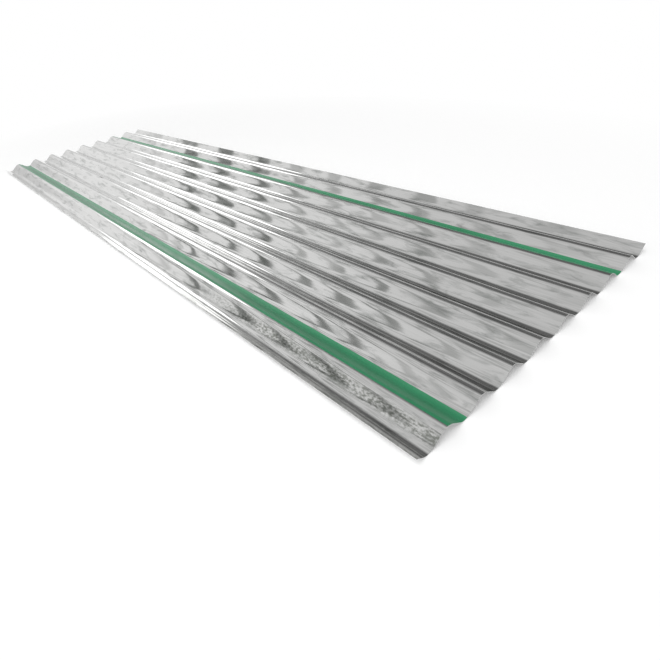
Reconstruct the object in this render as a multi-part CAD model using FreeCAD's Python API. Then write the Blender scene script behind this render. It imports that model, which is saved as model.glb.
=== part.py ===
import FreeCAD, Part
import math
import os

# Corrugated roofing sheet: one piece of thin aluminium sheet, rolled into round waves.
#
# Frame, in millimetres: X runs across the waves, Y along them and +Z up. The origin is the middle of
# the sheet's footprint, on the plane that its valleys rest on.
#
# The section is followed along the middle of the sheet's thickness, from the left long edge to the
# right one, as flats and round bends that run into each other smoothly.

# Driving dimensions
SHEET_LENGTH = 2440.0  # along the waves
SHEET_THICKNESS = 0.5
CREST_COUNT = 8
WAVE_PITCH = 76.2  # crest to crest
WAVE_DEPTH = 19.5  # valley to crest, both on the upper face
BEND_RADIUS = 18.0  # of every crest and valley, at the middle of the thickness
LEFT_LAP = 60.4  # first crest to the left long edge, which stops partway up a flank
RIGHT_LAP = 65.9  # last crest to the right long edge, which stops nearly a whole flank up


def flank_slope():
    """The slope, in radians, at which a flank touches both its valley bend and its crest bend."""
    half_pitch = WAVE_PITCH / 2
    centre_rise = 2 * BEND_RADIUS - WAVE_DEPTH  # a valley bend's centre is this much above a crest bend's
    centre_gap = math.hypot(half_pitch, centre_rise)
    return math.asin(2 * BEND_RADIUS / centre_gap) - math.atan2(centre_rise, half_pitch)


def flank_length():
    """The flat between a valley bend and the next crest bend."""
    slope = flank_slope()
    return (WAVE_PITCH / 2 - 2 * BEND_RADIUS * math.sin(slope)) / math.cos(slope)


def lip_length(lap):
    """The flat that is left of a flank where the sheet ends this far across from its outer crest."""
    slope = flank_slope()
    return (lap - WAVE_PITCH / 2 - BEND_RADIUS * math.sin(slope)) / math.cos(slope)


def section_steps():
    """Each flat of the section, from left to right, with the angle of the bend that follows it."""
    turn = 2 * flank_slope()
    one_wave = [(flank_length(), -turn), (flank_length(), turn)]
    return [(lip_length(LEFT_LAP), turn)] + one_wave * CREST_COUNT + [(lip_length(RIGHT_LAP), 0.0)]


def face_point(x, z, slope, offset):
    """The point at this offset from the middle of the thickness, square to the sheet."""
    return FreeCAD.Vector(x - offset * math.sin(slope), -SHEET_LENGTH / 2, z + offset * math.cos(slope))


def face_edges(offset):
    """One face of the sheet, seen at its near end, as lines and arcs from left to right."""
    slope = -flank_slope()
    x = -((CREST_COUNT - 1) * WAVE_PITCH + LEFT_LAP + RIGHT_LAP) / 2
    z = SHEET_THICKNESS / 2 + BEND_RADIUS * (1 - math.cos(slope)) - lip_length(LEFT_LAP) * math.sin(slope)
    edges = []
    for flat, turn in section_steps():
        flat_start = face_point(x, z, slope, offset)
        x += flat * math.cos(slope)
        z += flat * math.sin(slope)
        flat_end = face_point(x, z, slope, offset)
        edges.append(Part.makeLine(flat_start, flat_end))
        if turn:
            radius = math.copysign(BEND_RADIUS, turn)
            centre_x = x - radius * math.sin(slope)
            centre_z = z + radius * math.cos(slope)
            bend_points = [flat_end]
            for angle in (slope + turn / 2, slope + turn):
                x = centre_x + radius * math.sin(angle)
                z = centre_z - radius * math.cos(angle)
                bend_points.append(face_point(x, z, angle, offset))
            edges.append(Part.Arc(*bend_points).toShape())
            slope += turn
    return edges


def corrugated_sheet():
    """Both faces joined across the two slit long edges, and drawn out along the waves."""
    upper = face_edges(SHEET_THICKNESS / 2)
    lower = face_edges(-SHEET_THICKNESS / 2)
    left_edge = Part.makeLine(lower[0].Vertexes[0].Point, upper[0].Vertexes[0].Point)
    right_edge = Part.makeLine(lower[-1].Vertexes[-1].Point, upper[-1].Vertexes[-1].Point)
    section = Part.Wire(Part.__sortEdges__(upper + lower + [left_edge, right_edge]))
    return Part.Face(section).extrude(FreeCAD.Vector(0, SHEET_LENGTH, 0))


def main():
    os.makedirs("parts", exist_ok=True)
    sheet = corrugated_sheet()
    box = sheet.BoundBox
    print("flanks slope", round(math.degrees(flank_slope()), 2), "degrees and are", round(flank_length(), 2), "mm")
    print("sheet", round(box.XLength, 2), "x", round(box.YLength, 2), "x", round(box.ZLength, 2), "mm")
    print("metal", round(sheet.Volume / 1000, 1), "cm3, valid", sheet.isValid())
    sheet.exportStep("parts/corrugated_sheet.step")


main()
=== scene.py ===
# %% [markdown]
# # A corrugated aluminium roofing sheet
# One long sheet of thin aluminium, rolled into round waves, with two green painted stripes along it.
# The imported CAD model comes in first, as a frame that nothing here may move. Everything is in metres,
# X across the waves, Y along them and Z up.

# %% Load the frame
import bpy
import numpy as np
from mathutils import Matrix, Vector


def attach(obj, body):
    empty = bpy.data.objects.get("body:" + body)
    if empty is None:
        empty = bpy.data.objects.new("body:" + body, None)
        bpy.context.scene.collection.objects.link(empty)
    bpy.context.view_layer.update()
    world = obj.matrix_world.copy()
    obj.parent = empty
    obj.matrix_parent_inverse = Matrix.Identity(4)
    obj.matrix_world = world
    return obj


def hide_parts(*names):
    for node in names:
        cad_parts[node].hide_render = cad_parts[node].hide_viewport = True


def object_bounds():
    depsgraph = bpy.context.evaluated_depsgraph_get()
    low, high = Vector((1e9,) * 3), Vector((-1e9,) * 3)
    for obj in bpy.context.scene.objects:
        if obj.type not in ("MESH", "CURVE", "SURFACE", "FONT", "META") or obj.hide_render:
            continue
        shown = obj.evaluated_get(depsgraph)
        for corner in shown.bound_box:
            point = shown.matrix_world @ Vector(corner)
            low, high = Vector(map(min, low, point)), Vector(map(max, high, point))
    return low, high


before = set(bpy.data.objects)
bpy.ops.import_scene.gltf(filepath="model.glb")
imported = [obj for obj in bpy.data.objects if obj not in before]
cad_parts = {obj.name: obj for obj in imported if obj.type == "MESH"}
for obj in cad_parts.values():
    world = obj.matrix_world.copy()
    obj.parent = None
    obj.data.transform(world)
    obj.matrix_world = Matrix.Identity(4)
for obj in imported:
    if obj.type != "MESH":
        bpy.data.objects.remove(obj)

cad_low, cad_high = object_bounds()
print("CAD box from", list(cad_low), "to", list(cad_high))

# %% [markdown]
# ## Sizes
# These repeat the sizes of the CAD model. The middle valley isn't at x = 0, because the sheet is slit
# a little further up its right edge wave than its left one.

# %% Sizes of the sheet
MM = 0.001
SHEET_LENGTH = 2440 * MM
SHEET_THICKNESS = 0.5 * MM
CREST_COUNT = 8
WAVE_PITCH = 76.2 * MM
WAVE_DEPTH = 19.5 * MM
BEND_RADIUS = 18 * MM
LEFT_LAP = 60.4 * MM
RIGHT_LAP = 65.9 * MM
SHEET_HEIGHT = WAVE_DEPTH + SHEET_THICKNESS
LEFT_EDGE = -(LEFT_LAP + RIGHT_LAP + (CREST_COUNT - 1) * WAVE_PITCH) / 2
FIRST_CREST = LEFT_EDGE + LEFT_LAP
print("first crest at", round(FIRST_CREST / MM, 2), "mm")

# %% [markdown]
# ## The wave
# A roller makes each wave from two round bends with a short flat between them. A formula for the
# height at any place across the sheet is simpler here than drawing a curve, because the mesh can then
# have as many columns as the highlights need. The flat's slope is the one that touches both bends.

# %% Height and slope of the wave
half_pitch = WAVE_PITCH / 2
centre_rise = 2 * BEND_RADIUS - WAVE_DEPTH
centre_gap = np.hypot(half_pitch, centre_rise)
FLANK_SLOPE = np.arcsin(2 * BEND_RADIUS / centre_gap) - np.arctan2(centre_rise, half_pitch)
BEND_REACH = BEND_RADIUS * np.sin(FLANK_SLOPE)


def wave(x):
    """Height of the middle of the thickness above its valleys, and its slope in radians, across at x."""
    from_crest = (x - FIRST_CREST) / WAVE_PITCH
    from_crest = (from_crest - np.round(from_crest)) * WAVE_PITCH
    from_valley = half_pitch - np.abs(from_crest)
    near_bend = np.minimum(from_valley, half_pitch - from_valley)
    bend_slope = np.arcsin(np.minimum(near_bend, BEND_REACH) / BEND_RADIUS)
    on_flat = np.maximum(near_bend - BEND_REACH, 0)
    near_height = BEND_RADIUS * (1 - np.cos(bend_slope)) + on_flat * np.tan(FLANK_SLOPE)
    height = np.where(from_valley < half_pitch / 2, near_height, WAVE_DEPTH - near_height)
    return height, -np.sign(from_crest) * bend_slope


print("flanks slope", round(float(np.degrees(FLANK_SLOPE)), 1), "degrees")

# %% [markdown]
# ## The green stripes
# Each stripe runs from a crest down the flank behind it and across the valley. The mesh gets a column
# exactly at each side of a stripe, so the paint ends on a clean line.

# %% Places of the stripes
STRIPE_START = 1.5 * MM  # past its crest
STRIPE_WIDTHS = {0: 42 * MM, 6: 46 * MM}  # by the number of the crest, the left one being 0
stripes = []
for crest, width in STRIPE_WIDTHS.items():
    start = FIRST_CREST + crest * WAVE_PITCH + STRIPE_START
    stripes.append((start, start + width))
print("stripes at", [[round(side / MM, 1) for side in stripe] for stripe in stripes])

# %% [markdown]
# ## Handling marks in the shape
# Thin sheet never stays true: the waves are a little shallower in places, and the flanks hold long
# soft hollows of a few tenths of a millimetre, which show only as bends in the reflections. A sum of
# slow sine waves with random places makes them, and the points are then kept inside the CAD box.

# %% Soft hollows
rng = np.random.default_rng(7)


def slow_hills(x, y, across, along):
    """A random smooth surface of height about one, with hills of roughly these sizes in metres."""
    count = 24
    total = np.zeros(x.shape)
    for _ in range(count):
        turns_x = rng.normal(0, 0.5) / across
        turns_y = rng.normal(0, 0.5) / along
        total += np.sin(2 * np.pi * (turns_x * x + turns_y * y) + rng.uniform(0, 2 * np.pi))
    return total / np.sqrt(count / 2)


# %% [markdown]
# ## The sheet
# The mesh is a grid for the upper face and one for the lower face, half a thickness to each side of
# the wave, joined round the rim by the cut edge. Both faces take the same hollows, so the metal keeps
# its thickness. The columns stand three times as close on the bends as on the flats, because only the
# bends need them to keep their highlights smooth.

# %% Columns and rows of the grid
column_count = 260
row_count = 180
fine_steps = np.linspace(cad_low.x, cad_high.x, 20001)
turning = np.abs(np.gradient(wave(fine_steps)[1], fine_steps)) * BEND_RADIUS  # about 1 on a bend
measure = np.append(0, np.cumsum((1 + 2 * turning[1:]) * np.diff(fine_steps)))
columns = np.interp(np.linspace(0, measure[-1], column_count), measure, fine_steps)
stripe_sides = np.array([side for stripe in stripes for side in stripe])
for side in stripe_sides:
    columns[np.argmin(np.abs(columns - side))] = side
rows = np.linspace(-SHEET_LENGTH / 2, SHEET_LENGTH / 2, row_count)
column_grid, row_grid = np.meshgrid(columns, rows)
print(len(columns), "columns and", len(rows), "rows")

# %% [markdown]
# A point of either face is half a thickness from the wave, square to it. The cut ends waver by a
# tenth of a millimetre or two, as a shear leaves them.


# %% Points of both faces
def sheet_points(offset, hollows, shallow, ragged):
    """The grid of points at this offset from the middle of the thickness."""
    height, slope = wave(column_grid)
    offset_total = offset + hollows
    mid = WAVE_DEPTH / 2
    x = column_grid - offset_total * np.sin(slope)
    z = SHEET_THICKNESS / 2 + mid + (height - mid) * (1 - shallow) + offset_total * np.cos(slope)
    y = row_grid * (1 - ragged / (SHEET_LENGTH / 2))
    x = np.clip(x, cad_low.x, cad_high.x)
    z = np.clip(z, cad_low.z, cad_high.z)
    return np.stack([x, y, z], axis=-1).reshape(-1, 3)


long_hollows = 0.18 * MM * slow_hills(column_grid, row_grid, 0.05, 0.25)
hollows = long_hollows + 0.05 * MM * slow_hills(column_grid, row_grid, 0.03, 0.07)
shallow = 0.02 * np.clip(1 + slow_hills(column_grid, row_grid, 0.5, 0.6), 0, 2)
ragged = 0.12 * MM * np.clip(1 + slow_hills(column_grid, 0 * row_grid, 0.02, 1.0), 0, 2)
upper = sheet_points(SHEET_THICKNESS / 2, hollows, shallow, ragged)
lower = sheet_points(-SHEET_THICKNESS / 2, hollows, shallow, ragged)
print("hollows and bumps up to", round(float(np.abs(hollows).max() / MM), 2), "mm")

# %% [markdown]
# Quads join the points into the two faces, the lower one turned over, and a ring of quads is the cut
# edge. Edges that turn over 50 degrees stay sharp, which are only those of the cut.


# %% Faces of the grid and its rim
def grid_faces(first, flip):
    """Quads of one face, whose points start at this number."""
    r, c = np.meshgrid(np.arange(row_count - 1), np.arange(column_count - 1), indexing="ij")
    corner = first + r * column_count + c
    quads = np.stack([corner, corner + 1, corner + column_count + 1, corner + column_count], axis=-1)
    quads = quads.reshape(-1, 4)
    return quads[:, ::-1] if flip else quads


def rim_faces(loop):
    """Quads between the upper and the lower face along a closed loop of upper points."""
    after = np.roll(loop, -1)
    return np.stack([loop, loop + len(upper), after + len(upper), after], axis=-1)


number = np.arange(len(upper)).reshape(row_count, column_count)
loop = np.concatenate([number[0, :-1], number[:-1, -1], number[-1, :0:-1], number[:0:-1, 0]])
faces = np.concatenate([grid_faces(0, False), grid_faces(len(upper), True), rim_faces(loop)])
sheet_mesh = bpy.data.meshes.new("corrugated_sheet_metal")
sheet_mesh.from_pydata(np.concatenate([upper, lower]).tolist(), [], faces.tolist())
sheet_mesh.shade_smooth()
sheet_mesh.set_sharp_from_angle(angle=np.radians(50))
sheet = bpy.data.objects.new("corrugated_sheet_metal", sheet_mesh)
bpy.context.scene.collection.objects.link(sheet)
print(len(faces), "faces")

# %% [markdown]
# ## Colours
# Blender shades with linear colours, and paint and metal colours are known as sRGB hex values. One
# function turns one into the other. The rest add a node, or a pair that is always used together.


# %% Colour and node helpers
def linear(hex_colour):
    """An sRGB hex colour as linear red, green, blue and alpha."""
    srgb = np.array([int(hex_colour[i:i + 2], 16) for i in (1, 3, 5)]) / 255
    rgb = np.where(srgb <= 0.04045, srgb / 12.92, ((srgb + 0.055) / 1.055) ** 2.4)
    return tuple(rgb.tolist()) + (1.0,)


def add_node(tree, kind, links=None, values=None, **settings):
    """A node of this kind. values fill its inputs, and links join an input to another node's output."""
    node = tree.nodes.new(kind)
    for name, value in settings.items():
        setattr(node, name, value)
    for name, value in (values or {}).items():
        node.inputs[name].default_value = value
    for name, (source, output) in (links or {}).items():
        tree.links.new(source.outputs[output], node.inputs[name])
    return node


def new_material(name):
    """A material with an empty tree."""
    material = bpy.data.materials.new(name)
    material.use_nodes = True
    material.node_tree.nodes.clear()
    return material, material.node_tree


def ramp(tree, source, output, stops):
    """A colour ramp over a source's output, with stops of place and linear grey."""
    node = add_node(tree, "ShaderNodeValToRGB", {"Fac": (source, output)})
    elements = node.color_ramp.elements
    while len(elements) < len(stops):
        elements.new(1.0)
    for element, (place, grey) in zip(elements, stops):
        element.position = place
        element.color = (grey, grey, grey, 1)
    return node


def map_range(tree, source, output, from_low, from_high, to_low=0.0, to_high=1.0):
    """A source's output between two values, as a share from to_low to to_high."""
    span = {"From Min": from_low, "From Max": from_high, "To Min": to_low, "To Max": to_high}
    return add_node(tree, "ShaderNodeMapRange", {"Value": (source, output)}, span)


def noise(tree, place, output, scale, **values):
    """Noise over a place, with so many waves to the metre along X, Y and Z."""
    mapping = add_node(tree, "ShaderNodeMapping", {"Vector": (place, output)}, {"Scale": scale})
    return add_node(tree, "ShaderNodeTexNoise", {"Vector": (mapping, "Vector")}, {"Scale": 1.0, **values})


def multiply(tree, first, second):
    """The product of two outputs, each given as its node and its name."""
    return add_node(tree, "ShaderNodeMath", {0: first, 1: second}, operation="MULTIPLY")


print("colour and node helpers ready")

# %% [markdown]
# ## Mill aluminium
# The sheet is cold rolled aluminium as it leaves the mill, with no coating. The polished rolls leave
# it bright but not a mirror, with faint lines along its length. Its grey patches are partly handling
# marks and partly painted shade: dark reflections of the room painted into the metal's colour.
# Metal keeps the default IOR, so the look is in the colour, the roughness and a slight bump.

# %% Mill aluminium
aluminium, tree = new_material("mill_rolled_aluminium")
place = add_node(tree, "ShaderNodeTexCoord")
# Grey patches about 10 mm across and 70 mm along the sheet, partly handling marks and partly painted dark
# reflections
smears_and_reflections = noise(tree, place, "Object", (95, 14, 20), Detail=5.0, Roughness=0.6, Distortion=0.6)
smear_and_reflection_mask = ramp(tree, smears_and_reflections, "Fac", [(0.50, 0.0), (0.72, 1.0)])
# Rolling lines about 1.5 mm apart, drawn coarser than the real hairlines so that they show
lines = noise(tree, place, "Object", (650, 3, 20), Detail=2.0)
# The darker grey is partly handling smudge and partly a painted reflection of dark things in the room
base = add_node(tree, "ShaderNodeMix", {"Factor": (smear_and_reflection_mask, "Color")}, data_type="RGBA")
base.inputs["A"].default_value = linear("#E4E4E3")
base.inputs["B"].default_value = linear("#AFB1AF")
lined = add_node(tree, "ShaderNodeMix", {"Factor": (lines, "Fac"), "A": (base, "Result")},
                 data_type="RGBA", blend_type="MULTIPLY")
lined.inputs["B"].default_value = linear("#E4E4E4")
print("aluminium with smears and rolling lines")

# %% [markdown]
# Damp held between stored sheets leaves a dull speckled stain. Here it is a strip on the flank left of
# the first crest, fading out away from the near end. A mask across the sheet and one along it place it.

# %% Water stain
STAIN_SIDES = (-31 * MM, -24 * MM, -15 * MM, -10 * MM)  # from the first crest: it fades in, then out
STAIN_FADE = (-0.45, -0.85)  # along the sheet: none there, all there
stain_place = add_node(tree, "ShaderNodeSeparateXYZ", {"Vector": (place, "Object")})
fade_in, full, full_end, fade_out = [FIRST_CREST + side for side in STAIN_SIDES]
stain_left = map_range(tree, stain_place, "X", fade_in, full)
stain_right = map_range(tree, stain_place, "X", fade_out, full_end)
stain_end = map_range(tree, stain_place, "Y", *STAIN_FADE)
# Specks about 3 mm across and 7 mm along the sheet
specks = noise(tree, place, "Object", (330, 150, 330), Detail=3.0)
speck_mask = ramp(tree, specks, "Fac", [(0.40, 0.15), (0.62, 0.9)])
stain_sides = multiply(tree, (stain_left, "Result"), (stain_right, "Result"))
stain_area = multiply(tree, (stain_sides, "Value"), (stain_end, "Result"))
stain = multiply(tree, (stain_area, "Value"), (speck_mask, "Color"))
stained = add_node(tree, "ShaderNodeMix", {"Factor": (stain, "Value"), "A": (lined, "Result")},
                   data_type="RGBA")
stained.inputs["B"].default_value = linear("#7E817B")
rough = map_range(tree, smears_and_reflections, "Fac", 0.35, 0.7, 0.035, 0.09)
bump = add_node(tree, "ShaderNodeBump", {"Height": (lines, "Fac")}, {"Strength": 0.04, "Distance": 0.2 * MM})
metal_links = {"Base Color": (stained, "Result"), "Roughness": (rough, "Result"), "Normal": (bump, "Normal")}
shader = add_node(tree, "ShaderNodeBsdfPrincipled", metal_links, {"Metallic": 1.0})
add_node(tree, "ShaderNodeOutputMaterial", {"Surface": (shader, "BSDF")})
print("stain from", round(fade_in / MM, 1), "to", round(fade_out / MM, 1), "mm")

# %% [markdown]
# ## Green enamel
# The stripes are a thin coat of green polyester enamel, rolled on while the strip was flat and baked.
# It is smooth and glossy, so it is green head on and pale where it mirrors the light.

# %% Green enamel
enamel, tree = new_material("green_baked_enamel")
place = add_node(tree, "ShaderNodeTexCoord")
# Cloudiness about 30 mm across and 150 mm along the stripe
clouds = noise(tree, place, "Object", (33, 7, 10), Detail=4.0)
colour = add_node(tree, "ShaderNodeMix", {"Factor": (clouds, "Fac")}, data_type="RGBA")
colour.inputs["A"].default_value = linear("#25714C")
colour.inputs["B"].default_value = linear("#3A8F66")
rough = map_range(tree, clouds, "Fac", 0.0, 1.0, 0.28, 0.4)
paint_links = {"Base Color": (colour, "Result"), "Roughness": (rough, "Result")}
shader = add_node(tree, "ShaderNodeBsdfPrincipled", paint_links, {"IOR": 1.5})
add_node(tree, "ShaderNodeOutputMaterial", {"Surface": (shader, "BSDF")})
print("enamel ready")

# %% [markdown]
# Only the upper face is painted. A face takes the enamel when the middle of its column is in a stripe,
# which is exact because a column stands at each stripe's side.

# %% Put the finishes on
sheet_mesh.materials.append(aluminium)
sheet_mesh.materials.append(enamel)
finish_of_face = np.zeros(len(faces), np.int32)
column_middle = (columns[:-1] + columns[1:]) / 2
in_stripe = np.any([(column_middle > left) & (column_middle < right) for left, right in stripes], axis=0)
upper_face_count = (row_count - 1) * (column_count - 1)
finish_of_face[:upper_face_count] = np.tile(in_stripe, row_count - 1)
sheet_mesh.polygons.foreach_set("material_index", finish_of_face)
sheet_mesh.update()
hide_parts("corrugated_sheet")
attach(sheet, "root")
print(int(finish_of_face.sum()), "faces painted green")

# %% [markdown]
# ## Floor
# A plain white floor under the sheet. Close to the sheet it is ordinary white paint that takes the
# shadow, and further out it turns into the even white of the backdrop, which the metal mirrors too.

# %% Floor
floor_paint, tree = new_material("white_floor")
place = add_node(tree, "ShaderNodeTexCoord")
squeeze = add_node(tree, "ShaderNodeMapping", {"Vector": (place, "Object")}, {"Scale": (1, 0.55, 1)})
distance = add_node(tree, "ShaderNodeVectorMath", {"Vector": (squeeze, "Vector")}, operation="LENGTH")
outside = map_range(tree, distance, "Value", 0.6, 1.3)
rays = add_node(tree, "ShaderNodeLightPath")
seen = add_node(tree, "ShaderNodeMath", {0: (rays, "Is Camera Ray"), 1: (rays, "Is Glossy Ray")},
                operation="MAXIMUM")
seen_any = add_node(tree, "ShaderNodeMath", {0: (seen, "Value"), 1: (rays, "Is Transmission Ray")},
                    operation="MAXIMUM")
white_share = multiply(tree, (outside, "Result"), (seen_any, "Value"))
paint = add_node(tree, "ShaderNodeBsdfDiffuse", values={"Color": linear("#F8F8F8")})
white = add_node(tree, "ShaderNodeEmission", values={"Color": (1, 1, 1, 1), "Strength": 1.0})
both = add_node(tree, "ShaderNodeMixShader",
                {"Fac": (white_share, "Value"), 1: (paint, "BSDF"), 2: (white, "Emission")})
add_node(tree, "ShaderNodeOutputMaterial", {"Surface": (both, "Shader")})
bpy.ops.mesh.primitive_plane_add(size=60, location=(0, 0, 0))
floor = bpy.context.object
floor.name = "floor"
floor.data.materials.append(floor_paint)
print("floor", round(floor.dimensions.x), "m across")

# %% [markdown]
# ## Light tent
# Bright sheet metal shows the room more than itself, so the room is designed for it. The backdrop is
# a plain white world. Between it and the sheet hangs a large round tent, which glows white low down
# and greyer overhead, with a dimmer band just above the horizon. Dark bars round it, like the ribs of
# a real tent, and a bright window at the far end give the flanks something to mirror, and its darker
# right side draws the thin line behind every crest. The camera looks through the tent, so the
# background stays white.

# %% White backdrop
world = bpy.data.worlds.new("white_backdrop")
bpy.context.scene.world = world
world.use_nodes = True
world.node_tree.nodes.clear()
backdrop = add_node(world.node_tree, "ShaderNodeBackground", values={"Color": (1, 1, 1, 1), "Strength": 1.0})
add_node(world.node_tree, "ShaderNodeOutputWorld", {"Surface": (backdrop, "Background")})
print("white backdrop ready")

# %% [markdown]
# The tent's pattern goes by direction from its middle: split's Z is 0 at the horizon and 1 overhead, so
# a ring at one Z is a bar all round. A patchy mask breaks the ribs up, as folds in cloth do.

# %% Glow and ribs of the tent
GLOW_BY_HEIGHT = [(0.0, 1.0), (0.05, 1.0), (0.09, 0.62), (0.2, 0.75), (0.26, 1.0), (0.42, 1.0),
                  (0.5, 0.98), (0.68, 0.9), (0.8, 0.76), (1.0, 0.66)]
RIB_BY_HEIGHT = [(0.36, 0.0), (0.40, 1.0), (0.60, 1.0), (0.74, 0.8), (0.86, 0.3)]
HALF_RIB_SPACING = 0.031
RIB_EDGES = (0.007, 0.012)  # from a rib's middle: dark up to the first, clear from the second
tent_cloth, tree = new_material("glowing_tent_cloth")
place = add_node(tree, "ShaderNodeTexCoord")
outward = add_node(tree, "ShaderNodeVectorMath", {"Vector": (place, "Object")}, operation="NORMALIZE")
split = add_node(tree, "ShaderNodeSeparateXYZ", {"Vector": (outward, "Vector")})
glow = ramp(tree, split, "Z", GLOW_BY_HEIGHT)
ribs = add_node(tree, "ShaderNodeMath", {0: (split, "Z")}, {1: HALF_RIB_SPACING}, operation="PINGPONG")
rib_mask = map_range(tree, ribs, "Value", *RIB_EDGES, 1.0, 0.0)
rib_height = ramp(tree, split, "Z", RIB_BY_HEIGHT)
patches = noise(tree, outward, "Vector", (7, 3, 5), Detail=1.0)
patch_mask = ramp(tree, patches, "Fac", [(0.36, 0.45), (0.50, 1.0)])
rib_share = multiply(tree, (rib_mask, "Result"), (rib_height, "Color"))
rib_depth = multiply(tree, (rib_share, "Value"), (patch_mask, "Color"))
ribbed = add_node(tree, "ShaderNodeMix", {"Factor": (rib_depth, "Value"), "A": (glow, "Color")},
                  data_type="RGBA")
ribbed.inputs["B"].default_value = (0.18, 0.19, 0.18, 1)
print("tent cloth with ribs")

# %% [markdown]
# The right side darkens above the horizon. The window is a round spot toward the far end, brighter than
# white.

# %% Dark side and window of the tent
WINDOW_TOWARD = Vector((0.20, 0.85, 0.46)).normalized()
right_side = map_range(tree, split, "X", 0.3, 0.62, 1.0, 0.2)
above_horizon = map_range(tree, split, "Z", 0.06, 0.14)
darkened = add_node(tree, "ShaderNodeMix", {"Factor": (above_horizon, "Result"), "B": (right_side, "Result")},
                    data_type="FLOAT")
darkened.inputs["A"].default_value = 1.0
tent = add_node(tree, "ShaderNodeMix", {"A": (ribbed, "Result"), "B": (darkened, "Result")}, {"Factor": 1.0},
                data_type="RGBA", blend_type="MULTIPLY")
toward_window = add_node(tree, "ShaderNodeVectorMath", {0: (outward, "Vector")}, {1: WINDOW_TOWARD},
                         operation="DOT_PRODUCT")
window = map_range(tree, toward_window, "Value", 0.983, 0.989)
lit_tent = add_node(tree, "ShaderNodeMix", {"Factor": (window, "Result"), "A": (tent, "Result")},
                    data_type="RGBA")
lit_tent.inputs["B"].default_value = (2.2, 2.2, 2.2, 1)
cloth = add_node(tree, "ShaderNodeEmission", {"Color": (lit_tent, "Result")}, {"Strength": 1.0})
add_node(tree, "ShaderNodeOutputMaterial", {"Surface": (cloth, "Emission")})
print("window toward", [round(part, 2) for part in WINDOW_TOWARD])

# %% [markdown]
# The tent itself is a ball far larger than the sheet, so that every part of the sheet sees the same
# tent. The camera and the shadows ignore it.

# %% Tent
bpy.ops.mesh.primitive_uv_sphere_add(segments=64, ring_count=32, radius=28, location=(0, 0, 0))
light_tent = bpy.context.object
light_tent.name = "light_tent"
light_tent.data.materials.append(tent_cloth)
light_tent.visible_camera = False
light_tent.visible_shadow = False
print("tent", round(light_tent.dimensions.x), "m across")

# %% [markdown]
# One big soft box over the left side gives the paint its even light and the sheet its shadow. It is
# hidden from reflections, because its square would show in the metal as a white patch.

# %% Soft box
key = bpy.data.lights.new("soft_box", "AREA")
key.shape = "SQUARE"
key.size = 5.0
key.energy = 260
soft_box = bpy.data.objects.new("soft_box", key)
soft_box.location = (-2.5, -1.0, 6.0)
soft_box.rotation_euler = (Vector((0, 0, 0)) - soft_box.location).to_track_quat("-Z", "Y").to_euler()
soft_box.visible_glossy = False
bpy.context.scene.collection.objects.link(soft_box)
print("soft box of", key.size, "m")

# %% [markdown]
# ## Camera
# A wide lens close to the near left corner, looking down along the sheet, a little rolled.

# %% Camera
camera_data = bpy.data.cameras.new("camera")
camera_data.sensor_width = 36
camera_data.lens = 25.7
camera_data.clip_start = 0.01
camera = bpy.data.objects.new("camera", camera_data)
right = Vector((0.7390, -0.6587, -0.142))
up = Vector((0.4806, 0.3676, 0.796))
back = right.cross(up).normalized()
up = back.cross(right.normalized())
corner = Vector((LEFT_EDGE, -SHEET_LENGTH / 2, SHEET_HEIGHT))
stand = corner + Vector((-0.274, -0.250, 0.472))
facing = Matrix((right.normalized(), up, back)).transposed().to_4x4()
camera.matrix_world = Matrix.Translation(stand) @ facing
bpy.context.scene.collection.objects.link(camera)
bpy.context.scene.camera = camera
bpy.context.scene.view_settings.view_transform = "Standard"
print("camera", round(stand.z, 2), "m above the floor")
